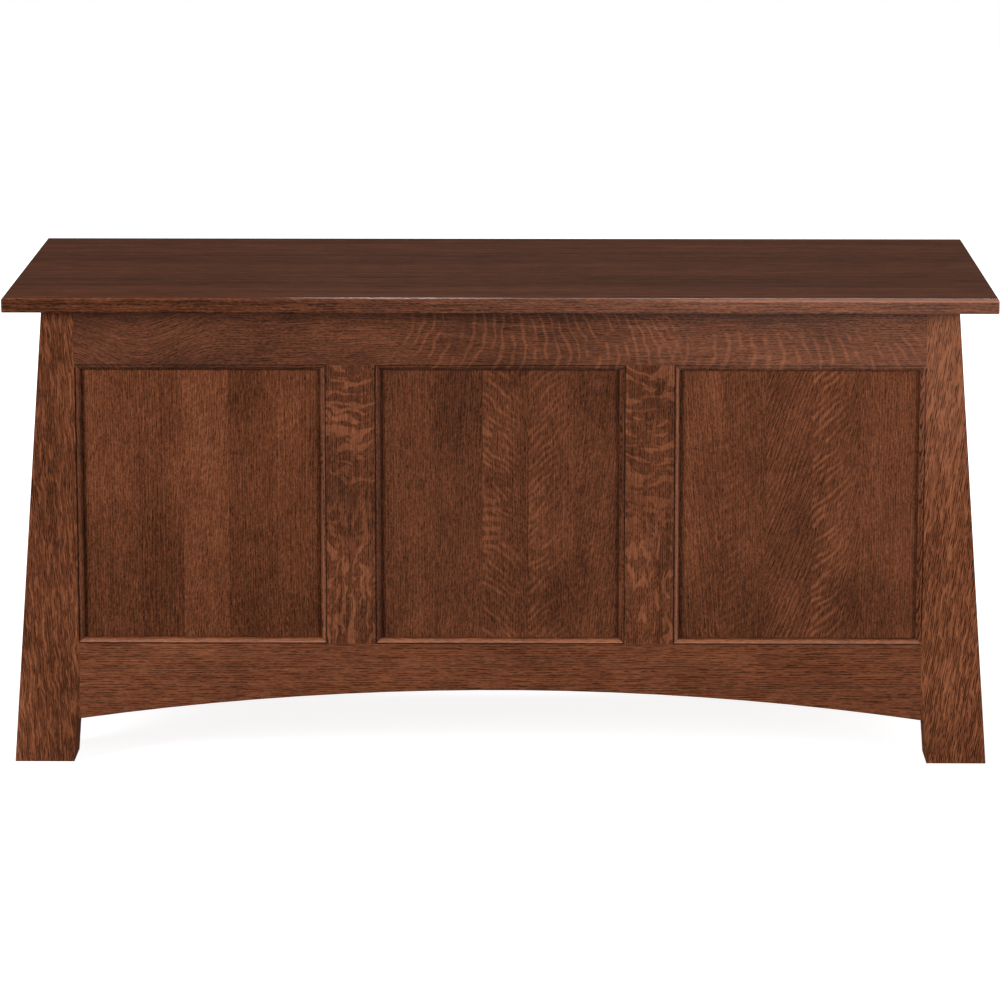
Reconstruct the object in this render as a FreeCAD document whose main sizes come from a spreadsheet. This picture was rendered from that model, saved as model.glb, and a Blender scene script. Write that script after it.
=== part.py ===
"""Bench chest: an oak frame-and-panel chest on flared legs, with a hinged lid and slotted lid stays.

Millimetres. +Z is up, the front looks along -Y, and the origin is on the floor under the middle.
"""
import FreeCAD, Part
import math
import os

import Sketcher

SIZES = {
    # Whole chest
    "total_height": 541.0,
    "case_top_width": 1034.5,
    # Lid
    "lid_depth": 495.0,
    "lid_thickness": 17.0,
    "lid_front_overhang": 25.0,
    "lid_end_overhang": 41.75,
    "lid_gap": 1.5,
    "lid_top_radius": 3.0,
    "lid_bottom_radius": 1.5,
    # Front frame, repeated at the back
    "top_rail_height": 67.7,
    "opening_bottom": 145.7,
    "mullion_width": 68.5,
    "frame_thickness": 25.0,
    "arch_end_height": 50.8,
    "arch_crown_height": 85.0,
    # Legs, whose width at the top runs from the flared edge to the opening
    "leg_top_width": 43.25,
    "foot_flare": 39.0,
    "leg_depth": 60.0,
    "foot_margin": 0.6,
    "leg_arris_radius": 1.5,
    # Moulded edge round every panel
    "sticking_width": 6.6,
    "quirk_depth": 1.2,
    "quirk_flat": 1.3,
    "sticking_lip": 0.5,
    # Panels, grooves and tenons
    "groove_width": 6.4,
    "groove_depth": 10.0,
    "panel_clearance": 0.1,
    "panel_room": 2.0,
    "tenon_length": 22.0,
    "tenon_haunch": 15.0,
    "mortise_room": 1.0,
    # Side frames
    "side_thickness": 22.0,
    "side_arch_rise": 18.0,
    # Floor
    "cleat_rise": 1.0,
    "floor_thickness": 12.0,
    "floor_clearance": 0.6,
    "board_gap": 0.4,
    "tongue_length": 5.0,
    "tongue_thickness": 4.0,
    "tongue_clearance": 0.1,
    "cleat_width": 20.0,
    "cleat_height": 20.0,
    # Battens under the lid
    "batten_inset": 164.0,
    "batten_width": 45.0,
    "batten_thickness": 18.0,
    "batten_chamfer": 7.0,
    "batten_end_gap": 18.0,
    "batten_screw_margin": 52.0,
    # Hinges
    "hinge_inset": 94.0,
    "hinge_length": 64.0,
    "leaf_margin": 4.0,
    "leaf_thickness": 2.2,
    "knuckle_radius": 4.0,
    "knuckle_clearance": 0.4,
    "knuckle_gap": 0.3,
    "pin_radius": 2.0,
    "pin_clearance": 0.05,
    "pin_head_radius": 3.2,
    "pin_head_length": 1.6,
    # Screws
    "screw_radius": 1.7,
    "screw_head_radius": 3.4,
    "screw_head_depth": 1.8,
    "screw_cover": 3.0,
    "screw_slot_width": 0.8,
    "screw_slot_depth": 0.9,
    "hinge_screw_margin": 10.0,
    "plate_screw_margin": 7.5,
    # Lid stays
    "lid_open_angle": 100.0,
    "stay_radius": 140.0,
    "stay_lid_angle": 6.0,
    "stay_wall_angle": 17.5,
    "stay_wall_gap": 4.0,
    "stay_side_gap": 0.4,
    "stay_arm_width": 14.0,
    "stay_arm_thickness": 2.5,
    "stay_arm_end": 6.0,
    "stay_slot_clearance": 0.3,
    "bracket_thickness": 2.5,
    "bracket_ear_radius": 8.0,
    "bracket_length": 50.0,
    "bracket_width": 18.0,
    "rivet_radius": 2.5,
    "rivet_head_radius": 4.5,
    "rivet_head_length": 1.5,
    "stud_radius": 3.0,
    "stud_boss_radius": 5.5,
    "stud_end": 1.5,
    "keeper_radius": 6.5,
    "keeper_thickness": 2.0,
    "wall_plate_length": 48.0,
    "wall_plate_height": 18.0,
    "wall_plate_thickness": 2.5,
    # Bumpers on the front legs
    "bumper_radius": 5.0,
    "bumper_clearance": 0.2,
    "bumper_inset": 16.0,
    # How far cutting shapes run past what they cut
    "overrun": 5.0,
}
FLOOR_BOARDS = 9
KNUCKLES = 5
# How closely two measures agree when an edge is looked for
SAME = 1e-6

doc = FreeCAD.newDocument("bench_chest")
sheet = doc.addObject("Spreadsheet::Sheet", "Sizes")
for row, (alias, amount) in enumerate(SIZES.items(), 1):
    sheet.set(f"A{row}", alias)
    sheet.set(f"B{row}", str(amount))
    sheet.setAlias(f"B{row}", alias)
doc.recompute()


class Size:
    """A number together with the sheet formula that gives it."""

    def __init__(self, value, text):
        self.value = float(value)
        self.text = text

    @staticmethod
    def of(other):
        return other if isinstance(other, Size) else Size(other, repr(float(other)))

    def join(self, sign, other, value):
        return Size(value, f"({self.text} {sign} {other.text})")

    def __add__(self, other):
        other = Size.of(other)
        return self.join("+", other, self.value + other.value)

    def __sub__(self, other):
        other = Size.of(other)
        return self.join("-", other, self.value - other.value)

    def __mul__(self, other):
        other = Size.of(other)
        return self.join("*", other, self.value * other.value)

    def __truediv__(self, other):
        other = Size.of(other)
        return self.join("/", other, self.value / other.value)

    def __radd__(self, other):
        return Size.of(other) + self

    def __rsub__(self, other):
        return Size.of(other) - self

    def __rmul__(self, other):
        return Size.of(other) * self

    def __neg__(self):
        return Size(-self.value, f"(-1 * {self.text})")

    def root(self):
        return Size(math.sqrt(self.value), f"sqrt({self.text})")

    def arc_tangent(self):
        return Size(math.degrees(math.atan(self.value)), f"atan({self.text})")

    def sine(self):
        return Size(math.sin(math.radians(self.value)), f"sin({self.text})")

    def cosine(self):
        return Size(math.cos(math.radians(self.value)), f"cos({self.text})")

    def degrees(self):
        return Size(self.value, f"({self.text} * 1 deg)")


class Cells:
    """The sheet's cells, each read by its alias."""

    def __getattr__(self, alias):
        return Size(sheet.get(alias), f"Sizes.{alias}")


size = Cells()

# Heights and depths of the whole chest
lid_under = size.total_height - size.lid_thickness
case_top = lid_under - size.lid_gap
pin_out = size.knuckle_clearance + size.knuckle_radius
lid_front = -(size.lid_depth + pin_out + size.knuckle_radius) / 2
back_face = lid_front + size.lid_depth
front_face = lid_front + size.lid_front_overhang
middle_y = (front_face + back_face) / 2
pin_y = back_face + pin_out
pin_z = case_top + size.lid_gap / 2

# The leaning outer faces of legs and sides: run per unit of rise, and length per unit of rise
case_half = size.case_top_width / 2
foot_half = case_half + size.foot_flare
flare = size.foot_flare / case_top
slant = (flare * flare + 1).root()
lean_angle = flare.arc_tangent()

# Openings of the front frame
sight_half = case_half - size.leg_top_width
face_half = sight_half + size.sticking_width
sight_top = case_top - size.top_rail_height
sight_bottom = size.opening_bottom
panel_sight = (sight_half - size.mullion_width) * 2 / 3
mullion_in = panel_sight / 2
mullion_out = mullion_in + size.mullion_width
front_inside = front_face + size.frame_thickness
back_inside = back_face - size.frame_thickness

# Moulded edge, groove and panel, measured inwards from a frame's face
ovolo = size.sticking_width - size.quirk_flat
panel_recess = size.quirk_depth + ovolo + size.sticking_lip
groove_back = panel_recess + size.groove_width
panel_face = panel_recess + size.panel_clearance
panel_back = groove_back - size.panel_clearance
panel_edge = size.groove_depth - size.panel_room

# Floor boards, on cleats that the arch doesn't show
floor_low = size.arch_crown_height + size.cleat_rise + size.cleat_height
floor_high = floor_low + size.floor_thickness

# Hinges on the back rail, battens inside the case, and screws that stop short of the lid's top
hinge_middle = sight_half - size.hinge_inset
leaf_width = size.frame_thickness - size.leaf_margin
batten_middle = sight_half - size.batten_inset
batten_front = front_inside + size.batten_end_gap
batten_back = back_inside - size.batten_end_gap
short_screw = size.lid_thickness - size.screw_cover
long_screw = short_screw + size.batten_thickness

# Openings of the side frames, with heights measured along the lean
side_front = front_face + size.leg_depth
side_back = back_face - size.leg_depth
side_half = (side_back - side_front) / 2
lean_top = case_top * slant
lean_sight_top = sight_top * slant
lean_sight_bottom = sight_bottom * slant
lean_arch_end = size.arch_end_height * slant

# Lid stays: rivet on the lid and stud on the wall lie equally far from the hinge pin, each at its own
# angle below the level of the pin
lid_angle = size.stay_lid_angle.degrees()
wall_angle = size.stay_wall_angle.degrees()
stay_tilt = (lid_angle + wall_angle) / 2
stay_spread = wall_angle - lid_angle
stay_shut = size.stay_radius * 2 * (stay_spread / 2).sine()
stay_open = size.stay_radius * 2 * ((stay_spread + size.lid_open_angle.degrees()) / 2).sine()
rivet_y = pin_y - size.stay_radius * lid_angle.cosine()
rivet_z = pin_z - size.stay_radius * lid_angle.sine()
stud_y = pin_y - size.stay_radius * wall_angle.cosine()
stud_z = pin_z - size.stay_radius * wall_angle.sine()
arm_outer = case_half - size.side_thickness * slant - size.stay_wall_gap
arm_inner = arm_outer - size.stay_arm_thickness
ear_outer = arm_inner - size.stay_side_gap
ear_inner = ear_outer - size.bracket_thickness

nodes = []


def number(value):
    return Size.of(value).value


def near(measured, value):
    return math.isclose(measured, number(value), abs_tol=SAME)


def bind(thing, prop, value):
    thing.setExpression(prop, Size.of(value).text)


def new(kind, label):
    thing = doc.addObject(kind, label.replace(" ", "_"))
    thing.Label = label
    return thing


def node(thing, label):
    """Name a finished piece and put it on the list of pieces to write."""
    thing.Label = label
    nodes.append(thing)
    return thing


def place(thing, x, y, z, axis=(0, 0, 1), angle=0):
    """Put a piece at a point, turned about an axis, with every part of its place tied to the sheet."""
    base = FreeCAD.Vector(number(x), number(y), number(z))
    thing.Placement = FreeCAD.Placement(base, FreeCAD.Rotation(FreeCAD.Vector(*axis), number(angle)))
    for letter, value in zip("xyz", (x, y, z)):
        bind(thing, f"Placement.Base.{letter}", value)
    if isinstance(angle, Size):
        bind(thing, "Placement.Rotation.Angle", angle)
    return thing


def leaning(x, z):
    """Point of the right side: x outwards from its outer face and z up along its lean, in chest's frame."""
    return foot_half + (x - z * flare) / slant, (x * flare + z) / slant


def lean_place(thing, x, y, z):
    across, up = leaning(x, z)
    return place(thing, across, y, up, (0, 1, 0), -lean_angle)


def block(label, x, y, z, lean=False):
    """Box between two limits on each axis; with lean, x and z are measured on the right side."""
    box = new("Part::Box", label)
    for prop, (low, high) in zip(("Length", "Width", "Height"), (x, y, z)):
        bind(box, prop, high - low)
    put = lean_place if lean else place
    return put(box, x[0], y[0], z[0])


def rod(label, radius, x, y, z):
    """Round bar along X between two limits."""
    bar = new("Part::Cylinder", label)
    bind(bar, "Radius", radius)
    bind(bar, "Height", x[1] - x[0])
    return place(bar, x[0], y, z, (0, 1, 0), 90)


def group(label, things):
    bundle = new("Part::Compound", label)
    bundle.Links = things
    return bundle


def fuse(label, things):
    union = new("Part::MultiFuse", label)
    union.Shapes = things
    union.Refine = True
    return union


def cut(label, base, tools):
    """Take each tool in turn away from the base."""
    for tool in tools:
        rest = new("Part::Cut", label + " less " + tool.Label)
        rest.Base = base
        rest.Tool = tool
        rest.Refine = True
        base = rest
    base.Label = label
    return base


def mirror(label, source, axis):
    """Copy across the chest's middle plane, left to right (axis 0) or front to back (axis 1)."""
    copy = new("Part::Mirroring", label)
    copy.Source = source
    copy.Normal = FreeCAD.Vector(*[float(i == axis) for i in range(3)])
    bind(copy, "Base.y", middle_y)
    return copy


def outline(body, plane, corners, arcs=None):
    """Closed sketch on a plane of the body, each corner tied to the sheet.

    An arc starts at the corner of its index, runs to the next and is given by its centre and radius.
    """
    arcs = arcs or {}
    sketch = body.newObject("Sketcher::SketchObject", body.Name + "_outline")
    support = [item for item in body.Origin.OriginFeatures if item.Role == plane][0]
    sketch.AttachmentSupport = [(support, "")]
    sketch.MapMode = "FlatFace"
    spots = [FreeCAD.Vector(number(x), number(y), 0) for x, y in corners]
    edges = []
    ends = []
    for index, start in enumerate(spots):
        stop = spots[(index + 1) % len(spots)]
        if index in arcs:
            (x, y), radius = arcs[index]
            centre = FreeCAD.Vector(number(x), number(y), 0)
            onward = (start - centre).cross(stop - centre).z > 0
            first, last = (start, stop) if onward else (stop, start)
            circle = Part.Circle(centre, FreeCAD.Vector(0, 0, 1), number(radius))
            edges.append(Part.ArcOfCircle(circle, circle.parameter(first), circle.parameter(last)))
            ends.append((1, 2) if onward else (2, 1))
        else:
            edges.append(Part.LineSegment(start, stop))
            ends.append((1, 2))
    sketch.addGeometry(edges)
    ties = []
    for index in range(len(spots)):
        after = (index + 1) % len(spots)
        sketch.addConstraint(Sketcher.Constraint("Coincident", index, ends[index][1], after, ends[after][0]))
        for kind, value in zip(("DistanceX", "DistanceY"), corners[index]):
            ties.append((Sketcher.Constraint(kind, -1, 1, index, ends[index][0], number(value)), value))
        if index in arcs:
            radius = arcs[index][1]
            ties.append((Sketcher.Constraint("Radius", index, number(radius)), radius))
    for tie, value in ties:
        at = sketch.addConstraint(tie)
        if isinstance(value, Size):
            bind(sketch, f"Constraints[{at}]", value)
    return sketch


def ring(body, plane, radius):
    """Circle about the body's own origin."""
    sketch = body.newObject("Sketcher::SketchObject", body.Name + "_ring")
    support = [item for item in body.Origin.OriginFeatures if item.Role == plane][0]
    sketch.AttachmentSupport = [(support, "")]
    sketch.MapMode = "FlatFace"
    circle = Part.Circle(FreeCAD.Vector(0, 0, 0), FreeCAD.Vector(0, 0, 1), number(radius))
    sketch.addGeometry([circle])
    sketch.addConstraint(Sketcher.Constraint("Coincident", 0, 3, -1, 1))
    at = sketch.addConstraint(Sketcher.Constraint("Radius", 0, number(radius)))
    bind(sketch, f"Constraints[{at}]", radius)
    return sketch


def pad(body, sketch, length, backwards=False):
    """Thicken a sketch into the body, along its normal or backwards."""
    feature = body.newObject("PartDesign::Pad", body.Name + "_pad")
    feature.Profile = sketch
    feature.Reversed = backwards
    bind(feature, "Length", length)
    doc.recompute()
    return feature


def pocket(body, sketch):
    """Cut a sketch right through the body, both ways."""
    before = body.Shape.Volume
    feature = body.newObject("PartDesign::Pocket", body.Name + "_pocket")
    feature.Profile = sketch
    feature.Type = "ThroughAll"
    feature.SideType = "Symmetric"
    doc.recompute()
    if not body.Shape.Volume < before:
        raise RuntimeError(f"the pocket in {body.Label} cuts nothing")
    return feature


def round_over(body, base, radius, wanted):
    """Round those edges of a feature whose middle point the test accepts."""
    names = [
        f"Edge{index}"
        for index, edge in enumerate(base.Shape.Edges, 1)
        if wanted(edge.CenterOfMass)
    ]
    feature = body.newObject("PartDesign::Fillet", body.Name + "_round")
    feature.Base = (base, names)
    bind(feature, "Radius", radius)
    doc.recompute()
    return feature


def moulded_edge(sight, towards, face, inwards):
    """Section cut from a frame member's edge: quirk, ovolo and lip, then the panel groove behind them.

    Corners are (across, depth): across is measured along the frame to the sight line, with the opening
    on the side given by towards, and depth from the face, with the wood on the side given by inwards.
    """
    over = size.overrun
    face_edge = sight - towards * size.sticking_width
    turn = face_edge + towards * size.quirk_flat
    corners = [
        (face_edge, face - inwards * over),
        (face_edge, face + inwards * size.quirk_depth),
        (turn, face + inwards * size.quirk_depth),
        (sight, face + inwards * (size.quirk_depth + ovolo)),
        (sight, face + inwards * panel_recess),
        (sight - towards * size.groove_depth, face + inwards * panel_recess),
        (sight - towards * size.groove_depth, face + inwards * groove_back),
        (sight + towards * over, face + inwards * groove_back),
        (sight + towards * over, face - inwards * over),
    ]
    arcs = {2: ((turn, face + inwards * (size.quirk_depth + ovolo)), ovolo)}
    return corners, arcs


def swap(corners, arcs):
    """The same section with depth along the sketch's first axis."""
    return [(b, a) for a, b in corners], {i: ((b, a), r) for i, ((a, b), r) in arcs.items()}


def tenon_blocks(label, reach, low, high, haunch_low, haunch_high):
    """Stub that fills the groove of a front post, and the longer tenon, between their own heights."""
    depth = (front_face + panel_recess, front_face + groove_back)
    stub_reach = sight_half + size.groove_depth
    stub = block(label + " stub", (-stub_reach, stub_reach), depth, (low, high))
    tenon = block(label + " tenon", (-reach, reach), depth, (haunch_low, haunch_high))
    return [stub, tenon]


def side_tenon_blocks(label, reach, low, high, haunch_low, haunch_high):
    """The same for a side rail, whose heights run along the lean."""
    depth = (-groove_back, -panel_recess)
    stub_span = (side_front - size.groove_depth, side_back + size.groove_depth)
    stub = block(label + " stub", depth, stub_span, (low, high), True)
    tenon_span = (side_front - reach, side_back + reach)
    tenon = block(label + " tenon", depth, tenon_span, (haunch_low, haunch_high), True)
    return [stub, tenon]


# Heights of the tenons: front and back rails upright, side rails along the lean
top_tenon = (sight_top + size.groove_depth, case_top - size.tenon_haunch)
bottom_tenon = (size.arch_end_height + size.tenon_haunch, sight_bottom - size.groove_depth)
lean_top_tenon = (lean_sight_top + size.groove_depth, lean_top - size.tenon_haunch)
lean_bottom_tenon = (lean_arch_end + size.tenon_haunch, lean_sight_bottom - size.groove_depth)


def build_leg():
    """Front right leg: upright inside, flared outside, with the foot cut back past the panel groove."""
    body = new("PartDesign::Body", "leg blank")
    foot_in = sight_half + size.groove_depth + size.foot_margin
    corners = [
        (foot_in + flare * size.arch_end_height, 0),
        (foot_half, 0),
        (case_half, case_top),
        (sight_half, case_top),
        (sight_half, size.arch_end_height),
        (foot_in, size.arch_end_height),
    ]
    blank = pad(body, outline(body, "XZ_Plane", corners), size.leg_depth, True)
    middle = (foot_half + case_half) / 2
    arris = size.leg_arris_radius
    round_over(body, blank, arris, lambda point: near(point.x, middle) and near(point.y, 0))
    pocket(body, outline(body, "XY_Plane", *moulded_edge(sight_half, -1, 0, 1)))
    place(body, 0, front_face, 0)

    side = new("PartDesign::Body", "leg side moulding")
    section = swap(*moulded_edge(0, 1, 0, -1))
    pad(side, outline(side, "XY_Plane", *section), lean_top - lean_arch_end + size.overrun)
    lean_place(side, 0, side_front, lean_arch_end)

    depth = (front_face + panel_recess, front_face + groove_back)
    reach = (sight_half, sight_half + size.tenon_length + size.mortise_room)
    tools = [side]
    for name, height in (("top", top_tenon), ("bottom", bottom_tenon)):
        tools.append(block(f"leg {name} mortise", reach, depth, height))
    side_depth = (-groove_back, -panel_recess)
    side_reach = (side_front - size.tenon_length - size.mortise_room, side_front)
    for name, height in (("top", lean_top_tenon), ("bottom", lean_bottom_tenon)):
        tools.append(block(f"leg {name} side mortise", side_depth, side_reach, height, True))
    return cut("front_right_leg", body, tools)


def build_rail(label, low, high, sight, towards, tenons, tools):
    """Front rail: a board with a moulded edge and tenons, less the tools, with its ends coped to the legs."""
    body = new("PartDesign::Body", label + " blank")
    corners = [(-face_half, low), (face_half, low), (face_half, high), (-face_half, high)]
    pad(body, outline(body, "XZ_Plane", corners), size.frame_thickness, True)
    pocket(body, outline(body, "YZ_Plane", *swap(*moulded_edge(sight, towards, 0, 1))))
    place(body, 0, front_face, 0)
    return cut(label, fuse(label + " whole", [body] + tenons), tools)


def build_top_rail(legs):
    reach = sight_half + size.tenon_length
    tenons = tenon_blocks("top rail", reach, top_tenon[0], case_top, *top_tenon)
    return build_rail("front_top_rail", sight_top, case_top, sight_top, -1, tenons, legs)


def arch_waste(label, plane, half, low, rise, depth):
    """What is sawn from under a rail and its tenons: round on top, and deeper than the rail on both faces."""
    waste = new("PartDesign::Body", label)
    radius = (half * half + rise * rise) / (rise * 2)
    corners = [(-half, low), (half, low), (half, low - size.overrun), (-half, low - size.overrun)]
    arcs = {0: ((0, low + rise - radius), radius)}
    pad(waste, outline(waste, plane, corners, arcs), depth + size.overrun * 2, True)
    return waste


def build_bottom_rail(legs):
    low = size.arch_end_height
    rise = size.arch_crown_height - low
    waste = arch_waste("bottom rail waste", "XZ_Plane", face_half, low, rise, size.frame_thickness)
    place(waste, 0, front_face - size.overrun, 0)
    reach = sight_half + size.tenon_length
    tenons = tenon_blocks("bottom rail", reach, low, bottom_tenon[1], *bottom_tenon)
    return build_rail("front_bottom_rail", low, sight_bottom, sight_bottom, 1, tenons, [waste] + legs)


def build_mullion(rails):
    """Front right mullion, moulded on both edges and coped over the rails."""
    body = new("PartDesign::Body", "mullion blank")
    low = sight_bottom - size.sticking_width
    high = sight_top + size.sticking_width
    corners = [(mullion_in, low), (mullion_out, low), (mullion_out, high), (mullion_in, high)]
    pad(body, outline(body, "XZ_Plane", corners), size.frame_thickness, True)
    pocket(body, outline(body, "XY_Plane", *moulded_edge(mullion_in, -1, 0, 1)))
    pocket(body, outline(body, "XY_Plane", *moulded_edge(mullion_out, 1, 0, 1)))
    place(body, 0, front_face, 0)
    stub = block(
        "mullion stub",
        (mullion_in + size.groove_depth, mullion_out - size.groove_depth),
        (front_face + panel_recess, front_face + groove_back),
        (sight_bottom - size.groove_depth, sight_top + size.groove_depth),
    )
    return cut("front_right_mullion", fuse("mullion whole", [body, stub]), rails)


def build_panel(label, left, right):
    """Flat panel that stands in the bottom rail's groove, with room to move in the others."""
    return block(
        label,
        (left - panel_edge, right + panel_edge),
        (front_face + panel_face, front_face + panel_back),
        (sight_bottom - size.groove_depth, sight_top + panel_edge),
    )


def build_side_top_rail(legs):
    """Right top rail: leaning, with its top edge cut level."""
    body = new("PartDesign::Body", "side top rail blank")
    inner = -size.side_thickness
    corners = [
        (inner, lean_sight_top),
        (0, lean_sight_top),
        (0, lean_top),
        (inner, lean_top + size.side_thickness * flare),
    ]
    length = side_half * 2 + size.sticking_width * 2
    pad(body, outline(body, "XZ_Plane", corners), length, True)
    pocket(body, outline(body, "XZ_Plane", *swap(*moulded_edge(lean_sight_top, -1, 0, -1))))
    lean_place(body, 0, side_front - size.sticking_width, 0)
    tenons = side_tenon_blocks(
        "side top rail", size.tenon_length, lean_top_tenon[0], lean_top, *lean_top_tenon
    )
    return cut("side top rail coped", fuse("side top rail whole", [body] + tenons), legs)


def build_side_bottom_rail(legs):
    """Right bottom rail: leaning, with an arched underside."""
    body = new("PartDesign::Body", "side bottom rail blank")
    half = side_half + size.sticking_width
    corners = [
        (-half, lean_arch_end),
        (half, lean_arch_end),
        (half, lean_sight_bottom),
        (-half, lean_sight_bottom),
    ]
    pad(body, outline(body, "YZ_Plane", corners), size.side_thickness, True)
    pocket(body, outline(body, "XZ_Plane", *swap(*moulded_edge(lean_sight_bottom, 1, 0, -1))))
    lean_place(body, 0, middle_y, 0)
    tenons = side_tenon_blocks(
        "side bottom rail", size.tenon_length, lean_arch_end, lean_bottom_tenon[1], *lean_bottom_tenon
    )
    waste = arch_waste(
        "side bottom rail waste", "YZ_Plane", half, lean_arch_end, size.side_arch_rise, size.side_thickness
    )
    lean_place(waste, size.overrun, middle_y, 0)
    return cut("side bottom rail coped", fuse("side bottom rail whole", [body] + tenons), [waste] + legs)


def build_side_panel():
    return block(
        "right_panel",
        (-panel_back, -panel_face),
        (side_front - panel_edge, side_back + panel_edge),
        (lean_sight_bottom - size.groove_depth, lean_sight_top + panel_edge),
        True,
    )


def build_floor():
    """Boards from front to back on the cleats, tongued together, with a short one at each end."""
    low = floor_low
    high = floor_high
    tongue_low = low + (size.floor_thickness - size.tongue_thickness) / 2
    tongue = (tongue_low, tongue_low + size.tongue_thickness)
    groove = (tongue[0] - size.tongue_clearance, tongue[1] + size.tongue_clearance)
    inner_half = sight_half - size.floor_clearance
    pitch = inner_half * 2 / FLOOR_BOARDS
    wall = foot_half - high * flare - size.side_thickness * slant - size.floor_clearance
    long_span = (front_inside + size.floor_clearance, back_inside - size.floor_clearance)
    short_span = (side_front + size.floor_clearance, side_back - size.floor_clearance)
    edges = [(-wall, -inner_half, short_span)]
    for index in range(FLOOR_BOARDS):
        edges.append((pitch * index - inner_half, pitch * (index + 1) - inner_half, long_span))
    edges.append((inner_half, wall, short_span))
    boards = []
    for index, (left, right, span) in enumerate(edges):
        name = f"floor board {index}"
        last = index == len(edges) - 1
        face = right if last else right - size.board_gap
        board = block(name + " plank", (left, face), span, (low, high))
        if not last:
            narrow = short_span if index == len(edges) - 2 else span
            reach = (left + size.tongue_length, right + size.tongue_length - size.board_gap)
            board = fuse(name + " tongued", [board, block(name + " tongue", reach, narrow, tongue)])
        if index:
            slot = (left - size.overrun, left + size.tongue_length)
            board = cut(name, board, [block(name + " groove", slot, long_span, groove)])
        boards.append(board)
    return group("floor_boards", boards)


def build_cleats():
    """Strips under the floor: two along the front and back rails, two along the leaning side rails."""
    low = floor_low - size.cleat_height
    high = floor_low
    half = sight_half - size.floor_clearance
    front = block("front_cleat", (-half, half), (front_inside, front_inside + size.cleat_width), (low, high))
    body = new("PartDesign::Body", "right_cleat")
    thick = size.side_thickness * slant
    high_wall = foot_half - high * flare - thick
    low_wall = foot_half - low * flare - thick
    inner = high_wall - size.cleat_width
    corners = [(inner, low), (low_wall, low), (high_wall, high), (inner, high)]
    length = (side_half - size.floor_clearance) * 2
    pad(body, outline(body, "XZ_Plane", corners), length, True)
    place(body, 0, side_front + size.floor_clearance, 0)
    return front, body


def screw_master(label, length):
    """Countersunk wood screw about the origin, pointing down: whole, for its hole, and slotted."""
    whole = new("PartDesign::Body", label + " whole")
    corners = [
        (0, 0),
        (size.screw_head_radius, 0),
        (size.screw_radius, -size.screw_head_depth),
        (size.screw_radius, size.screw_radius * 2 - length),
        (0, -length),
    ]
    sketch = outline(whole, "XZ_Plane", corners)
    turned = whole.newObject("PartDesign::Revolution", whole.Name + "_turned")
    turned.Profile = sketch
    turned.ReferenceAxis = (sketch, ["V_Axis"])
    turned.Angle = 360.0
    half = size.screw_slot_width / 2
    slot = block(
        label + " slot",
        (-size.screw_head_radius, size.screw_head_radius),
        (-half, half),
        (-size.screw_slot_depth, size.overrun),
    )
    return whole, cut(label, whole, [slot])


def copies(label, source, spots, axis, angle):
    """Linked copies of one piece at the given points, all turned alike, in one group."""
    links = []
    for index, spot in enumerate(spots):
        link = new("App::Link", f"{label} {index}")
        link.LinkedObject = source
        links.append(place(link, *spot, axis, angle))
    return group(label, links)


def build_screws(label, masters, sets):
    """Screws in sets of points, axis and angle: their holes in one group, and the screws as one piece."""
    whole, slotted = masters
    holes = [copies(f"{label} holes {index}", whole, *one) for index, one in enumerate(sets)]
    turned = [copies(f"{label} set {index}", slotted, *one) for index, one in enumerate(sets)]
    return group(label + " holes", holes), node(group(label + " group", turned), label)


# How a screw that points down in its own frame is turned
DOWN = ((1, 0, 0), 0)
UP = ((1, 0, 0), 180)


def hinge_places():
    """Name and middle of each hinge."""
    return [("left", -hinge_middle), ("middle", Size.of(0)), ("right", hinge_middle)]


def build_leaf(label, middle, plate_low, turn):
    """Hinge leaf: its plate, and every other knuckle, counted from the one given by turn."""
    start = middle - size.hinge_length / 2
    pitch = size.hinge_length / KNUCKLES
    plate_z = (plate_low, plate_low + size.leaf_thickness)
    plate = block(
        label + " plate", (start, start + size.hinge_length), (back_face - leaf_width, back_face), plate_z
    )
    pieces = [plate]
    for index in range(turn, KNUCKLES, 2):
        span = (
            start + pitch * index + size.knuckle_gap / 2,
            start + pitch * (index + 1) - size.knuckle_gap / 2,
        )
        pieces.append(rod(f"{label} knuckle {index}", size.knuckle_radius, span, pin_y, pin_z))
        web = (back_face - size.leaf_thickness, pin_y)
        pieces.append(block(f"{label} web {index}", span, web, plate_z))
    reach = (start - size.overrun, start + size.hinge_length + size.overrun)
    bore = rod(label + " bore", size.pin_radius + size.pin_clearance, reach, pin_y, pin_z)
    return cut(label + " bored", fuse(label + " whole", pieces), [bore])


def build_pin(label, middle):
    """Hinge pin with a button head at each end."""
    half = size.hinge_length / 2
    pieces = [rod(label + " shank", size.pin_radius, (middle - half, middle + half), pin_y, pin_z)]
    for side in (-1, 1):
        inner = middle + half * side
        outer = inner + size.pin_head_length * side
        span = (outer, inner) if side < 0 else (inner, outer)
        pieces.append(rod(f"{label} head {side + 1}", size.pin_head_radius, span, pin_y, pin_z))
    return fuse(label, pieces)


def leaf_screw_spots(height):
    """Three screws along the middle of each hinge leaf."""
    across = back_face - leaf_width / 2
    pitch = size.hinge_length / 2 - size.hinge_screw_margin
    spots = []
    for _, middle in hinge_places():
        for step in (-1, 0, 1):
            spots.append((middle + pitch * step, across, height))
    return spots


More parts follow.
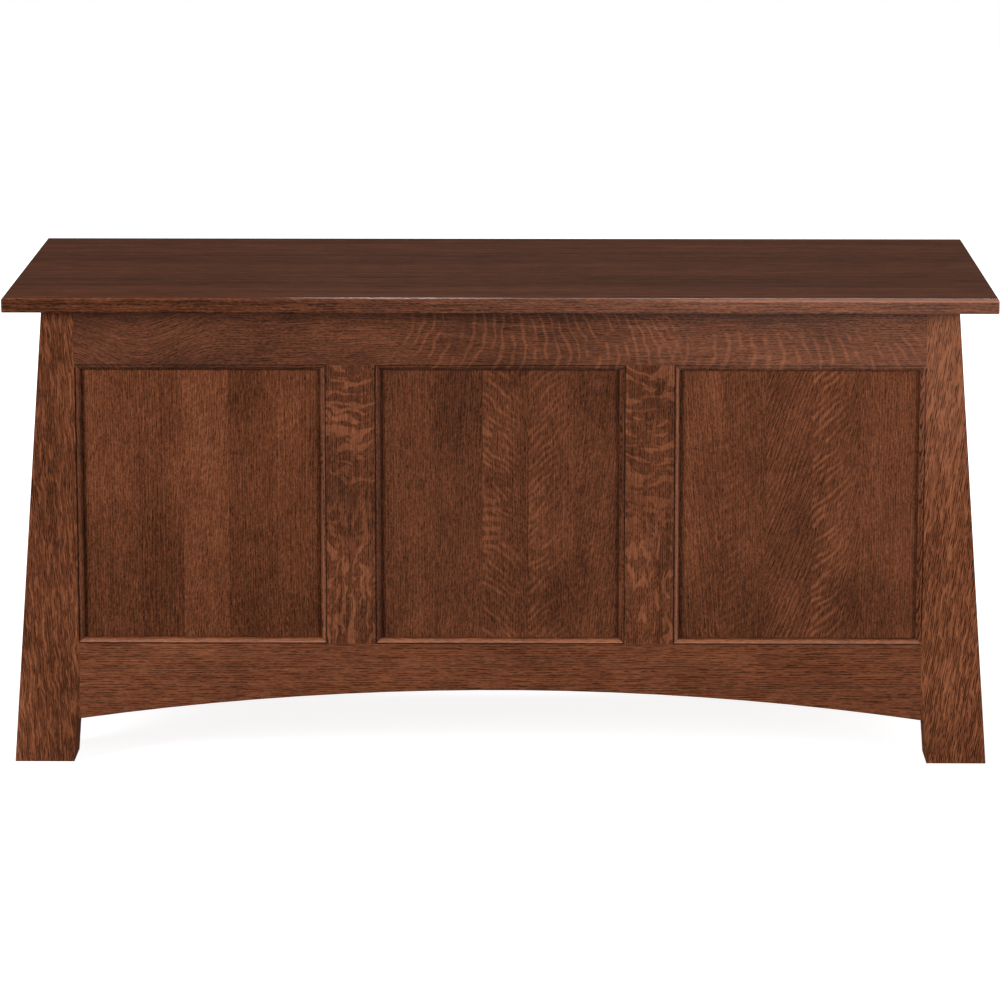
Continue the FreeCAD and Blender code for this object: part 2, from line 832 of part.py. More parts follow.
def build_hinges(masters):
    """Leaves and pins of the three hinges, with their screws; gives what the rail and lid make room for."""
    case_holes, _ = build_screws("hinge_case_screws", masters, [(leaf_screw_spots(case_top), *DOWN)])
    lid_holes, _ = build_screws("hinge_lid_screws", masters, [(leaf_screw_spots(lid_under), *UP)])
    case_tools = [case_holes]
    lid_tools = [lid_holes]
    pins = []
    for name, middle in hinge_places():
        case_leaf = build_leaf(f"{name} case leaf", middle, case_top - size.leaf_thickness, 0)
        lid_leaf = build_leaf(f"{name} lid leaf", middle, lid_under, 1)
        case_leaf = cut(f"{name} case leaf drilled", case_leaf, [case_holes])
        lid_leaf = cut(f"{name} lid leaf drilled", lid_leaf, [lid_holes])
        case_tools.append(node(case_leaf, f"{name}_hinge_case_leaf"))
        lid_tools.append(node(lid_leaf, f"{name}_hinge_lid_leaf"))
        pins.append(build_pin(f"{name} hinge pin", middle))
    node(group("hinge pin set", pins), "hinge_pins")
    return case_tools, lid_tools


def build_lid():
    """Lid slab, its top edges rounded all round and its bottom edges at the front and ends."""
    body = new("PartDesign::Body", "lid blank")
    half = case_half + size.lid_end_overhang
    corners = [(-half, lid_front), (half, lid_front), (half, back_face), (-half, back_face)]
    slab = pad(body, outline(body, "XY_Plane", corners), size.lid_thickness)
    upper = round_over(body, slab, size.lid_top_radius, lambda point: near(point.z, size.lid_thickness))
    lower = size.lid_bottom_radius
    round_over(body, upper, lower, lambda point: near(point.z, 0) and not near(point.y, back_face))
    return place(body, 0, 0, lid_under)


def build_batten():
    """Right batten under the lid, its lower ends chamfered."""
    body = new("PartDesign::Body", "batten blank")
    front = batten_front
    back = batten_back
    chamfer = size.batten_chamfer
    drop = -size.batten_thickness
    corners = [
        (front, 0),
        (front, drop + chamfer),
        (front + chamfer, drop),
        (back - chamfer, drop),
        (back, drop + chamfer),
        (back, 0),
    ]
    pad(body, outline(body, "YZ_Plane", corners), size.batten_width)
    return place(body, batten_middle - size.batten_width / 2, 0, lid_under)


def build_arm():
    """Right stay arm: a strip that hangs from its rivet, with a slot for the stud."""
    body = new("PartDesign::Body", "right_stay_arm")
    half = size.stay_arm_width / 2
    slot_half = size.stud_radius + size.stay_slot_clearance
    end = stay_open + slot_half + size.stay_arm_end - half
    strip = [(half, 0), (0, half), (-half, 0), (-half, -end), (0, -end - half), (half, -end)]
    round_ends = {0: ((0, 0), half), 1: ((0, 0), half), 3: ((0, -end), half), 4: ((0, -end), half)}
    pad(body, outline(body, "YZ_Plane", strip, round_ends), size.stay_arm_thickness)
    top = -stay_shut
    bottom = -stay_open
    slot = [
        (slot_half, top),
        (0, top + slot_half),
        (-slot_half, top),
        (-slot_half, bottom),
        (0, bottom - slot_half),
        (slot_half, bottom),
    ]
    slot_ends = {0: ((0, top), slot_half), 1: ((0, top), slot_half)}
    slot_ends.update({3: ((0, bottom), slot_half), 4: ((0, bottom), slot_half)})
    pocket(body, outline(body, "YZ_Plane", slot, slot_ends))
    pocket(body, ring(body, "YZ_Plane", size.rivet_radius + size.pin_clearance))
    return place(body, arm_inner, rivet_y, rivet_z, (1, 0, 0), stay_tilt)


def bracket_screw_spots():
    """Two screws through the base of each lid bracket."""
    across = ear_outer - (size.bracket_width + size.bracket_thickness) / 2
    height = lid_under - size.bracket_thickness
    reach = size.bracket_length / 2 - size.plate_screw_margin
    spots = []
    for side in (-1, 1):
        for step in (-1, 1):
            spots.append((across * side, rivet_y + reach * step, height))
    return spots


def build_bracket(holes):
    """Right lid bracket: a base screwed under the lid and an ear that holds the rivet."""
    ear = new("PartDesign::Body", "bracket ear")
    radius = size.bracket_ear_radius
    height = lid_under - rivet_z
    corners = [(radius, height), (-radius, height), (-radius, 0), (0, -radius), (radius, 0)]
    round_end = {2: ((0, 0), radius), 3: ((0, 0), radius)}
    pad(ear, outline(ear, "YZ_Plane", corners, round_end), size.bracket_thickness)
    pocket(ear, ring(ear, "YZ_Plane", size.rivet_radius + size.pin_clearance))
    place(ear, ear_inner, rivet_y, rivet_z)
    half = size.bracket_length / 2
    base = block(
        "bracket base",
        (ear_outer - size.bracket_width, ear_outer),
        (rivet_y - half, rivet_y + half),
        (lid_under - size.bracket_thickness, lid_under),
    )
    return cut("bracket drilled", fuse("bracket whole", [ear, base]), [holes])


def build_rivet():
    """Right rivet: a shank through ear and arm with a head outside each."""
    outer = arm_outer + size.stay_side_gap
    inner = ear_inner
    radius = size.rivet_head_radius
    length = size.rivet_head_length
    return fuse(
        "rivet whole",
        [
            rod("rivet shank", size.rivet_radius, (inner, outer), rivet_y, rivet_z),
            rod("rivet outer head", radius, (outer, outer + length), rivet_y, rivet_z),
            rod("rivet inner head", radius, (inner - length, inner), rivet_y, rivet_z),
        ],
    )


# The wall plate's middle, measured on the leaning inner face of the right side, level with the stud
plate_inner = -size.side_thickness - size.wall_plate_thickness
plate_middle = stud_z * slant + size.side_thickness * flare


def wall_screw_sets():
    """Two screws through each wall plate, square to the leaning side that it is on."""
    across, up = leaning(plate_inner, plate_middle)
    turn = lean_angle + Size.of(90).degrees()
    reach = size.wall_plate_length / 2 - size.plate_screw_margin
    sets = []
    for side in (-1, 1):
        spots = []
        for step in (-1, 1):
            spots.append((across * side, stud_y + reach * step, up))
        sets.append((spots, (0, 1, 0), turn * -side))
    return sets


def build_wall_plate(holes):
    """Right wall plate, flat on the leaning rail, with a level boss and the stud that runs in the slot."""
    half = size.wall_plate_length / 2
    rise = size.wall_plate_height / 2
    plate = block(
        "wall plate base",
        (plate_inner, -size.side_thickness),
        (stud_y - half, stud_y + half),
        (plate_middle - rise, plate_middle + rise),
        True,
    )
    wall = foot_half - stud_z * flare - size.side_thickness * slant
    root = wall - size.wall_plate_thickness / 2
    boss = rod("stud boss", size.stud_boss_radius, (arm_outer + size.stay_side_gap, root), stud_y, stud_z)
    tip = arm_inner - size.stay_side_gap - size.keeper_thickness - size.stud_end
    stud = rod("stud shank", size.stud_radius, (tip, root), stud_y, stud_z)
    return cut("wall plate drilled", fuse("wall plate whole", [plate, boss, stud]), [holes])


def build_keeper():
    """Ring on the stud's end that keeps the arm on it."""
    outer = arm_inner - size.stay_side_gap
    span = (outer - size.keeper_thickness, outer)
    disc = rod("keeper disc", size.keeper_radius, span, stud_y, stud_z)
    room = (span[0] - size.overrun, outer + size.overrun)
    bore = rod("keeper bore", size.stud_radius + size.pin_clearance, room, stud_y, stud_z)
    return cut("keeper bored", disc, [bore])


def build_bumpers():
    """Soft discs on the front legs under the lid."""
    discs = []
    for side in (-1, 1):
        disc = new("Part::Cylinder", f"bumper {side + 1}")
        bind(disc, "Radius", size.bumper_radius)
        bind(disc, "Height", size.lid_gap - size.bumper_clearance)
        across = (sight_half + size.bumper_inset) * side
        discs.append(place(disc, across, front_face + size.bumper_inset, case_top))
    return group("bumper set", discs)


def batten_screw_spots():
    """Three screws up through each batten."""
    middle = (batten_front + batten_back) / 2
    pitch = (batten_back - batten_front) / 2 - size.batten_screw_margin
    height = lid_under - size.batten_thickness
    spots = []
    for side in (-1, 1):
        for step in (-1, 0, 1):
            spots.append((batten_middle * side, middle + pitch * step, height))
    return spots


def pair(right, name):
    """Name the right-hand piece and make its left-hand twin."""
    node(right, "right_" + name)
    node(mirror("left " + name, right, 0), "left_" + name)
    return right


def back_copy(front, name):
    return mirror("back " + name, front, 1)


# Legs
front_right_leg = node(build_leg(), "front_right_leg")
front_left_leg = node(mirror("left leg", front_right_leg, 0), "front_left_leg")
back_right_leg = node(back_copy(front_right_leg, "right leg"), "back_right_leg")
back_left_leg = node(back_copy(front_left_leg, "left leg"), "back_left_leg")

# Front frame
front_legs = [front_right_leg, front_left_leg]
front_top_rail = node(build_top_rail(front_legs), "front_top_rail")
front_bottom_rail = node(build_bottom_rail(front_legs), "front_bottom_rail")
front_frame = {
    "right_mullion": build_mullion([front_top_rail, front_bottom_rail]),
    "right_panel": build_panel("front right panel", mullion_out, sight_half),
    "center_panel": build_panel("front center panel", -mullion_in, mullion_in),
}
for name in ("mullion", "panel"):
    front_frame["left_" + name] = mirror("front left " + name, front_frame["right_" + name], 0)
for name, piece in front_frame.items():
    node(piece, "front_" + name)

# Back frame, with the hinges let into its top rail
short_screws = screw_master("short screw", short_screw)
case_tools, lid_tools = build_hinges(short_screws)
node(cut("back top rail", back_copy(front_top_rail, "top rail"), case_tools), "back_top_rail")
node(back_copy(front_bottom_rail, "bottom rail"), "back_bottom_rail")
for name, piece in front_frame.items():
    node(back_copy(piece, name), "back_" + name)

# Lid stays
bracket_holes, _ = build_screws("stay_lid_screws", short_screws, [(bracket_screw_spots(), *UP)])
wall_holes, _ = build_screws("stay_wall_screws", short_screws, wall_screw_sets())
pair(build_bracket(bracket_holes), "stay_bracket")
pair(build_rivet(), "stay_rivet")
pair(build_arm(), "stay_arm")
pair(build_wall_plate(wall_holes), "stay_wall_plate")
pair(build_keeper(), "stay_keeper")

# Side frames
right_legs = [front_right_leg, back_right_leg]
pair(cut("side top rail", build_side_top_rail(right_legs), [wall_holes]), "top_rail")
pair(build_side_bottom_rail(right_legs), "bottom_rail")
pair(build_side_panel(), "panel")

# Floor
node(build_floor(), "floor_boards")
front_cleat, right_cleat = build_cleats()
node(front_cleat, "front_cleat")
node(back_copy(front_cleat, "cleat"), "back_cleat")
pair(right_cleat, "cleat")

# Lid with its battens, and the bumpers that it closes on
long_screws = screw_master("long screw", long_screw)
batten_holes, _ = build_screws("batten_screws", long_screws, [(batten_screw_spots(), *UP)])
pair(cut("batten drilled", build_batten(), [batten_holes]), "batten")
node(cut("lid", build_lid(), lid_tools + [bracket_holes, batten_holes]), "lid_panel")
node(build_bumpers(), "lid_bumpers")

doc.recompute()
faults = [item.Label for item in doc.Objects if {"Invalid", "Error"} & set(item.State)]
faults += [item.Label for item in nodes if item.Shape.isNull() or not item.Shape.isValid()]
if faults:
    raise RuntimeError("failed: " + ", ".join(faults))

os.makedirs("parts", exist_ok=True)
for item in nodes:
    item.Shape.exportStep(f"parts/{item.Label}.step")
    print(item.Label, len(item.Shape.Solids), round(item.Shape.Volume))
print(len(nodes), "pieces")
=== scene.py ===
# %% [markdown]
# A bench chest in quarter-sawn oak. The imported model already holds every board, hinge and screw at its real
# size, so this lesson is about finishes: stained oak with ray fleck and open pores, cedar floor boards,
# aged brass and soft bumpers. All of it is worked out from the place of each point, with no pictures.

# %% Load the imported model
import math

import bpy
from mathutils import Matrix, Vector


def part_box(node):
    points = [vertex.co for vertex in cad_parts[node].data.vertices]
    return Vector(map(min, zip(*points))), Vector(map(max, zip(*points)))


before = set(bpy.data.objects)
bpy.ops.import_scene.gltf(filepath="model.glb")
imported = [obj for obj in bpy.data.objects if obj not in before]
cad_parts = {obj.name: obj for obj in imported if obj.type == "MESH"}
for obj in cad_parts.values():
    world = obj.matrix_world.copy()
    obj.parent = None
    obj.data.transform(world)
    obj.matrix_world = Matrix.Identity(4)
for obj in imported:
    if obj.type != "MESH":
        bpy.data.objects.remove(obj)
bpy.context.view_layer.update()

# %% [markdown]
# The camera stands where the photographer stood: in front of the chest, a little above it and far away, so
# that the sides hardly converge. A long lens gives that flat view. Place, tilt and lens were solved from
# the corners of the lid, legs and panels.

# %% Camera
CAMERA_PLACE = (0.05128, -5.38383, 1.31275)
CAMERA_TILT = 78.96
CAMERA_TURN = 0.57
CAMERA_LENS = 166.83
SENSOR_WIDTH = 36.0

scene = bpy.context.scene
camera_data = bpy.data.cameras.new("camera")
camera_data.lens = CAMERA_LENS
camera_data.sensor_width = SENSOR_WIDTH
camera = bpy.data.objects.new("camera", camera_data)
camera.location = CAMERA_PLACE
camera.rotation_euler = (math.radians(CAMERA_TILT), 0.0, math.radians(CAMERA_TURN))
scene.collection.objects.link(camera)
scene.camera = camera
scene.view_settings.view_transform = "Standard"
print("camera at", CAMERA_PLACE)

# %% [markdown]
# Shader maths reads best as plain sums, so a small class wraps a node's output and turns each operator into
# a Math node. A second class holds the nodes of one material and adds each of them through a single method.


# %% Values that change over a surface
class Value:
    """A number that changes over the surface, with which sums can be written as usual."""

    def __init__(self, recipe, socket):
        self.recipe = recipe
        self.socket = socket

    def output(self, name):
        """Another output of the same node."""
        return Value(self.recipe, self.socket.node.outputs[name])

    def math(self, operation, first, second=0.0):
        return self.recipe.node("ShaderNodeMath", {"operation": operation}, {0: first, 1: second})

    def __add__(self, other):
        return self.math("ADD", self, other)

    def __sub__(self, other):
        return self.math("SUBTRACT", self, other)

    def __rsub__(self, other):
        return self.math("SUBTRACT", other, self)

    def __mul__(self, other):
        return self.math("MULTIPLY", self, other)

    def __truediv__(self, other):
        return self.math("DIVIDE", self, other)

    def __gt__(self, other):
        return self.math("GREATER_THAN", self, other)

    def __lt__(self, other):
        return self.math("LESS_THAN", self, other)

    def __abs__(self):
        return self.math("ABSOLUTE", self)

    def floor(self):
        return self.math("FLOOR", self)

    def rise(self, low, high):
        """0 before low, 1 past high, with a smooth step between; it falls where low is the larger."""
        settings = {"interpolation_type": "SMOOTHSTEP"}
        return self.recipe.node("ShaderNodeMapRange", settings, {0: self, 1: low, 2: high, 3: 0.0, 4: 1.0})


# %% Recipes that hold a material's nodes
def fill_ramp(ramp, stops):
    """Set a colour ramp's stops from pairs of place and colour."""
    while len(ramp.elements) < len(stops):
        ramp.elements.new(1.0)
    for element, (place, colour) in zip(ramp.elements, stops):
        element.position = place
        element.color = (*colour, 1.0)


class Recipe:
    """The nodes of a material or of the world."""

    def __init__(self, owner):
        owner.use_nodes = True
        self.owner = owner
        self.tree = owner.node_tree
        self.tree.nodes.clear()

    def node(self, kind, settings=None, sockets=None, output=0):
        """Add a node: its settings first, then the values or links of its sockets."""
        made = self.tree.nodes.new(kind)
        for key, value in (settings or {}).items():
            if key == "stops":
                fill_ramp(made.color_ramp, value)
            else:
                setattr(made, key, value)
        for key, value in (sockets or {}).items():
            if isinstance(value, Value):
                self.tree.links.new(value.socket, made.inputs[key])
            else:
                made.inputs[key].default_value = value
        return Value(self, made.outputs[output]) if len(made.outputs) else None

    def point(self):
        """The point's place on the chest in metres, as three values."""
        place = self.node("ShaderNodeTexCoord", output="Object")
        split = self.node("ShaderNodeSeparateXYZ", {}, {0: place})
        return {letter: split.output(letter.upper()) for letter in "xyz"}

    def noise(self, place, lengths, seed, detail):
        """Cloudy noise from 0 to 1, whose blotches have these lengths along the place's three values."""
        along, across, into = (value / length for value, length in zip(place, lengths))
        vector = self.node("ShaderNodeCombineXYZ", {}, {0: along + seed, 1: across, 2: into})
        return self.node("ShaderNodeTexNoise", {}, {"Vector": vector, "Scale": 1.0, "Detail": detail})

    def ramp(self, share, stops):
        return self.node("ShaderNodeValToRGB", {"stops": stops}, {"Fac": share}, "Color")

    def surface(self, sockets, height, depth):
        """Finish with one Principled shader, bumped by the height times the depth in metres."""
        bump = {"Strength": 1.0, "Distance": depth, "Height": height}
        sockets["Normal"] = self.node("ShaderNodeBump", {}, bump)
        shader = self.node("ShaderNodeBsdfPrincipled", {}, sockets)
        self.node("ShaderNodeOutputMaterial", {}, {"Surface": shader})


def dress(name, recipe):
    """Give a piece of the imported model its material."""
    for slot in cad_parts[name].material_slots:
        slot.material = recipe.owner


# %% [markdown]
# The floor is a plain pale sheet. A cut-out photograph has pure white behind the object, so rays from the
# camera see almost white there, and only the soft shadow is left of the light that falls on it. The world
# is white to the camera and in reflections, and a quieter fill for everything else.


# %% Floor and world
FLOOR_HALF = 12.0
FLOOR_PAPER = (0.5, 0.5, 0.5, 1.0)
FLOOR_GLOW = 0.88
WORLD_FILL = 0.28


def seen_rays(recipe):
    """1 for rays from the camera, reflections and glass, 0 for light that bounces between surfaces."""
    path = recipe.node("ShaderNodeLightPath", output="Is Camera Ray")
    seen = path + path.output("Is Glossy Ray") + path.output("Is Transmission Ray")
    return seen.rise(0.0, 1.0)


def make_floor():
    """A flat square sheet at height 0."""
    half = FLOOR_HALF
    corners = [(-half, -half, 0), (half, -half, 0), (half, half, 0), (-half, half, 0)]
    mesh = bpy.data.meshes.new("floor")
    mesh.from_pydata(corners, [], [(0, 1, 2, 3)])
    floor = bpy.data.objects.new("floor", mesh)
    scene.collection.objects.link(floor)
    recipe = Recipe(bpy.data.materials.new("pale_floor"))
    paper = recipe.node("ShaderNodeBsdfDiffuse", {}, {"Color": FLOOR_PAPER})
    glow = recipe.node("ShaderNodeEmission", {}, {"Strength": seen_rays(recipe) * FLOOR_GLOW})
    both = recipe.node("ShaderNodeAddShader", {}, {0: paper, 1: glow})
    recipe.node("ShaderNodeOutputMaterial", {}, {"Surface": both})
    mesh.materials.append(recipe.owner)


def make_world():
    """White where it is seen, and a fill of even light for the rest."""
    recipe = Recipe(bpy.data.worlds.new("studio"))
    strength = seen_rays(recipe) * (1.0 - WORLD_FILL) + WORLD_FILL
    sky = recipe.node("ShaderNodeBackground", {}, {"Strength": strength})
    recipe.node("ShaderNodeOutputWorld", {}, {"Surface": sky})
    scene.world = recipe.owner


make_floor()
make_world()
print("floor glow", FLOOR_GLOW, "world fill", WORLD_FILL)

# %% [markdown]
# Five soft boxes light the chest. The main one stands to the left, because the photograph has a soft shadow
# along the left side of every panel. A weaker one fills from the right, and a long low strip in front puts
# a thin line of light on the mouldings under the panels. Behind the chest, another strip draws the bright
# line along the lid's front edge, and a high box lights the back.

# %% Lamps
FRONT_MIDDLE = (0.0, -0.22, 0.3)
BACK_MIDDLE = (0.0, 0.24, 0.3)
LID_FRONT = (-0.1, -0.25, 0.54)

# Place, point that it faces, width, height and power
LAMPS = {
    "left_box": ((-4.7, -3.6, 1.9), FRONT_MIDDLE, 1.7, 1.7, 315.0),
    "right_box": ((4.4, -2.8, 1.9), FRONT_MIDDLE, 2.2, 2.2, 135.0),
    "front_strip": ((0.3, -4.2, 0.85), FRONT_MIDDLE, 3.0, 0.14, 15.0),
    "back_box": ((-1.6, 4.2, 3.6), BACK_MIDDLE, 2.0, 2.0, 120.0),
    "edge_strip": ((0.35, 3.0, 1.9), LID_FRONT, 1.6, 0.6, 60.0),
}
for name, (place, target, width, height, power) in LAMPS.items():
    lamp_data = bpy.data.lights.new(name, "AREA")
    lamp_data.shape = "RECTANGLE"
    lamp_data.size = width
    lamp_data.size_y = height
    lamp_data.energy = power
    lamp = bpy.data.objects.new(name, lamp_data)
    lamp.location = place
    lamp.rotation_euler = (Vector(place) - Vector(target)).to_track_quat("Z", "Y").to_euler()
    lamp.visible_camera = False
    scene.collection.objects.link(lamp)
    print(name, "at", place, "power", power)

# %% [markdown]
# Stained oak has one family of colours, from the near black of a filled pore to the orange of a ray fleck.
# One ramp holds them, and all that happens in the wood only moves a point up or down that ramp, so that the
# boards belong together. A board also knows which way its grain runs.

# %% Stain and boards
STAIN = (
    (0.00, (0.030, 0.0100, 0.0045)),
    (0.25, (0.066, 0.0216, 0.0097)),
    (0.50, (0.122, 0.0390, 0.0175)),
    (0.75, (0.190, 0.0630, 0.0280)),
    (1.00, (0.280, 0.1000, 0.0460)),
)
SEED_STEP = 7.3


class Board(Recipe):
    """A material for wood.

    The axes name the chest's axes along, across and into the wood. The grain runs off sideways by the lean
    for each metre along, and sways to and fro by up to the sway in metres.
    """

    def __init__(self, name, axes, seed, lean=0.0, sway=0.006):
        super().__init__(bpy.data.materials.new(name))
        self.seed = seed
        spot = self.point()
        self.along, self.across, self.into = (spot[letter] for letter in axes)
        self.grain = self.across - self.along * lean
        self.grain = self.grain + (self.streaks((0.16, 0.06, 0.06), 1) - 0.5) * sway

    def streaks(self, lengths, number, detail=1.0):
        """Noise that follows the grain; the number makes each use of it differ."""
        place = (self.along, self.grain, self.into)
        return self.noise(place, lengths, self.seed + number * SEED_STEP, detail)

    def patches(self, lengths, number, detail=1.0):
        """Noise that takes no notice of the grain's lean and sway."""
        place = (self.along, self.across, self.into)
        return self.noise(place, lengths, self.seed + number * SEED_STEP, detail)


# %% [markdown]
# Oak is full of open pores, which stain turns dark. In a board they show as short dashes, in a row for each
# growth ring. A row is the whole part of a distance across the grain, and a gate that opens and shuts along
# the row cuts it into dashes. Each row is shifted and reads its own part of the noise, so that no two are
# alike.


# %% Pores
ROW_SHIFT = 0.37
ROW_APART = 0.31
LONG_SWAY = (0.20, 0.015, 0.015)
SHORT_SWAY = (0.012, 0.004, 0.004)


def lanes(value):
    """The whole part of a value, and how far it is from the middle of that lane, from 0 to a half."""
    lane = value.floor()
    return lane, abs(value - lane - 0.5)


def pores(board, spacing, length):
    """Dashes of this length in rows this far apart, in metres: line across a row times gate along it."""
    sway = board.streaks(LONG_SWAY, 2) * 1.5 + board.streaks(SHORT_SWAY, 8) * 0.8
    lane, off = lanes((board.grain + board.into * 0.8) / spacing + sway)
    place = (board.along + lane * ROW_SHIFT, lane, board.into)
    gate = board.noise(place, (length, ROW_APART, 0.005), board.seed, 0.0)
    return off.rise(0.31, 0.05) * gate.rise(0.37, 0.61)


# %% [markdown]
# Everything then comes together in one finish: rings, fibres and cloudy stain move the tone, flecks lift it
# and pores drop it. Flecks have no pores in them. The satin varnish is a thin clear coat, thicker and
# smoother along some edges, where a painted highlight also lifts the tone, and painted shade darkens the
# corners of mouldings.


# %% The finish of stained oak
RING_LENGTHS = (0.40, 0.0042, 0.0042)
SPECK_LENGTHS = (0.0045, 0.0010, 0.0010)
STAIN_CLOUDS = (0.10, 0.05, 0.05)
FIBRE_WIDTH = 0.0011
COAT_ROUGHNESS = 0.16
PORE_BUMP = 0.00012


def finish_oak(board, tone, flecks, gain=0.22, spacing=0.0031, length=0.0055, depth=0.40, grit=0.40,
               stripe=0.40, cloud=0.55, fibre=0.035, glaze=0.0, gloss=0.0, sheen=0.05, relief=1.0,
               stain=STAIN):
    """Surface of a board.

    Gain is how much its flecks lift the tone. Spacing, length and depth are those of its pores. Grit,
    stripe and cloud are the strengths of specks, rings and stain, and fibre is the length of its fibres.
    Painted shade darkens the tone. Sheen is the coat's weight, to which more coat is added in places, where a
    painted highlight also lifts the tone, and relief is how much of the bump is left.
    """
    rings = board.streaks(RING_LENGTHS, 3, 2.0)
    fibres = board.streaks((fibre, FIBRE_WIDTH, FIBRE_WIDTH), 4)
    specks = board.streaks(SPECK_LENGTHS, 6, 0.0)
    clouds = board.patches(STAIN_CLOUDS, 5, 2.0)
    holes = pores(board, spacing, length) * (1.0 - flecks * 0.85)
    level = (rings - 0.5) * stripe + (fibres - 0.5) * 0.70 + (specks - 0.5) * grit + (clouds - 0.5) * cloud
    # Painted shade darkens the tone and a painted highlight lifts it.
    level = level + tone + flecks * gain - holes * depth - glaze * 0.45 + gloss * 0.4
    height = flecks * 0.25 - holes + (fibres - 0.5) * 0.5
    board.surface({
        "Base Color": board.ramp(level, stain),
        "Roughness": holes * 0.2 - flecks * 0.08 + 0.5,
        "Specular IOR Level": 0.0,
        "Coat Weight": gloss - holes * (sheen * 0.5) + sheen,
        "Coat Roughness": COAT_ROUGHNESS,
    }, height * (1.0 - gloss) * relief, PORE_BUMP)


# %% [markdown]
# Ray flecks are ribbons of cells that run from the heart of the tree to its bark. Where the saw cuts along
# them they show as light bars: short and wavy along a leg, broad and blotchy on a mullion, in a fan on the
# top rail, slanted on a panel. Each kind is a noise that is stretched its own way and cut off at a level,
# or a row of bars that a gate cuts into pieces, as it does with pores.


# %% Kinds of ray fleck
SWAY_CLOUDS = (0.03, 0.03, 0.03)
LONG_SWAY_CLOUDS = (0.035, 0.03, 0.03)
BLOTCH_LENGTHS = (0.0062, 0.026, 0.026)
BLOTCH_GROUPS = (0.07, 0.06, 0.06)
SLANTED_STEP = 0.0098


def wavy_flecks(board, amount=1.0, length=0.036, width=0.0040, reach=0.020):
    """Ribbons along the grain, which sway from side to side by up to the reach."""
    sway = board.patches(LONG_SWAY_CLOUDS, 11)
    place = (board.along, board.grain + sway * reach, board.into)
    return board.noise(place, (length, width, width), board.seed + 3.0, 1.0).rise(0.54, 0.595) * amount


def blotchy_flecks(board, middle, amount=1.0):
    """Bars across the grain in patches, bowed down at the middle: along less 9 times across squared."""
    sway = board.patches(SWAY_CLOUDS, 12)
    run = board.across - middle
    place = (board.along - run * run * 9.0 + sway * 0.03, board.across, board.into)
    bars = board.noise(place, BLOTCH_LENGTHS, board.seed + 5.0, 1.0)
    where = board.patches(BLOTCH_GROUPS, 13)
    return ((where - 0.5) * 0.6 + bars).rise(0.49, 0.60) * amount


def slanted_flecks(board, run, lean, amount):
    """Bars that get steeper and thinner further on: along less lean times (run + 8 run squared)."""
    sway = board.patches(SWAY_CLOUDS, 14) * 0.02
    lane, off = lanes((board.along - (run * run * 8.0 + run) * lean + sway) / SLANTED_STEP)
    gate = board.noise((board.across, lane, board.into), (0.016, ROW_APART, 0.02), board.seed + 9.0, 0.5)
    bars = off.rise(0.40 - run * 3.5, 0.10) * gate.rise(0.34, 0.58)
    return bars * run.rise(0.066, 0.010) * amount


def bent_flecks(board, middle, level, step, reach):
    """Upright bars a step apart, out to the reach, bent like a bracket: along plus 9 times the square of
    the height over a leaning level."""
    run = board.along - middle
    rise = board.across - level + run * 0.2
    sway = board.patches(SWAY_CLOUDS, 15) * 0.02
    lane, off = lanes((rise * rise * 9.0 + run + sway) / step)
    gate = board.noise((board.across, lane, board.into), (0.02, ROW_APART, 0.02), board.seed + 4.0, 0.5)
    return off.rise(0.22, 0.06) * gate.rise(0.30, 0.52) * abs(run).rise(reach, reach * 0.55)


# %% [markdown]
# Round every panel the frame has a small moulded edge: a step, then a quarter round. The step gets painted
# shade, the round painted shade or a painted highlight by a listed amount for each round, and a thin painted
# highlight runs along its foot. All of it is told from the distance to the sight line, where the panel
# begins.


# %% Moulded edges
MOULDING_WIDTH = 0.0066
STEP_BACK = 0.0061
FOOT_BACK = 0.0048
ROUND_BACK = 0.0028


def close_to(value, spots, width):
    """1 on the spots, falling to 0 at the width on both sides of each."""
    total = 0.0
    for spot in spots:
        total = abs(value - spot).rise(width, 0.0) + total
    return total


def moulding(across, sights):
    """Painted shade, coat and painted highlight of a frame piece, from rows of a sight line, the side of it
    on which the wood lies, the painted light on the round, below 0.5 for painted shade and above for a
    painted highlight, and the painted highlight at its foot."""
    glaze, gloss = 0.0, 0.0
    for sight, side, painted_light, foot_highlight in sights:
        # The step gets painted shade, the round painted light, and the foot a painted highlight line.
        corner = close_to(across, [sight + side * STEP_BACK], 0.0012)
        middle = close_to(across, [sight + side * ROUND_BACK], 0.0026)
        foot = close_to(across, [sight + side * FOOT_BACK], 0.0011)
        glaze = corner + middle * (0.5 - painted_light) + glaze
        gloss = middle * max(painted_light * 0.2, 0.0) + foot * foot_highlight + gloss
    return {"glaze": glaze, "gloss": gloss}


# %% [markdown]
# The legs are posts with the grain upright and fine wavy flecks along it. The left one is darker; the right
# one gets lighter and glossier towards its top, partly paler wood and partly a painted sheen, and its grain
# leans with the slope of its outer edge. Beside the panels the inner edge of a leg is moulded.

# %% Legs
SIGHT_HALF = 0.474
MOULDED_FROM = 0.142
MOULDED_TO = 0.458
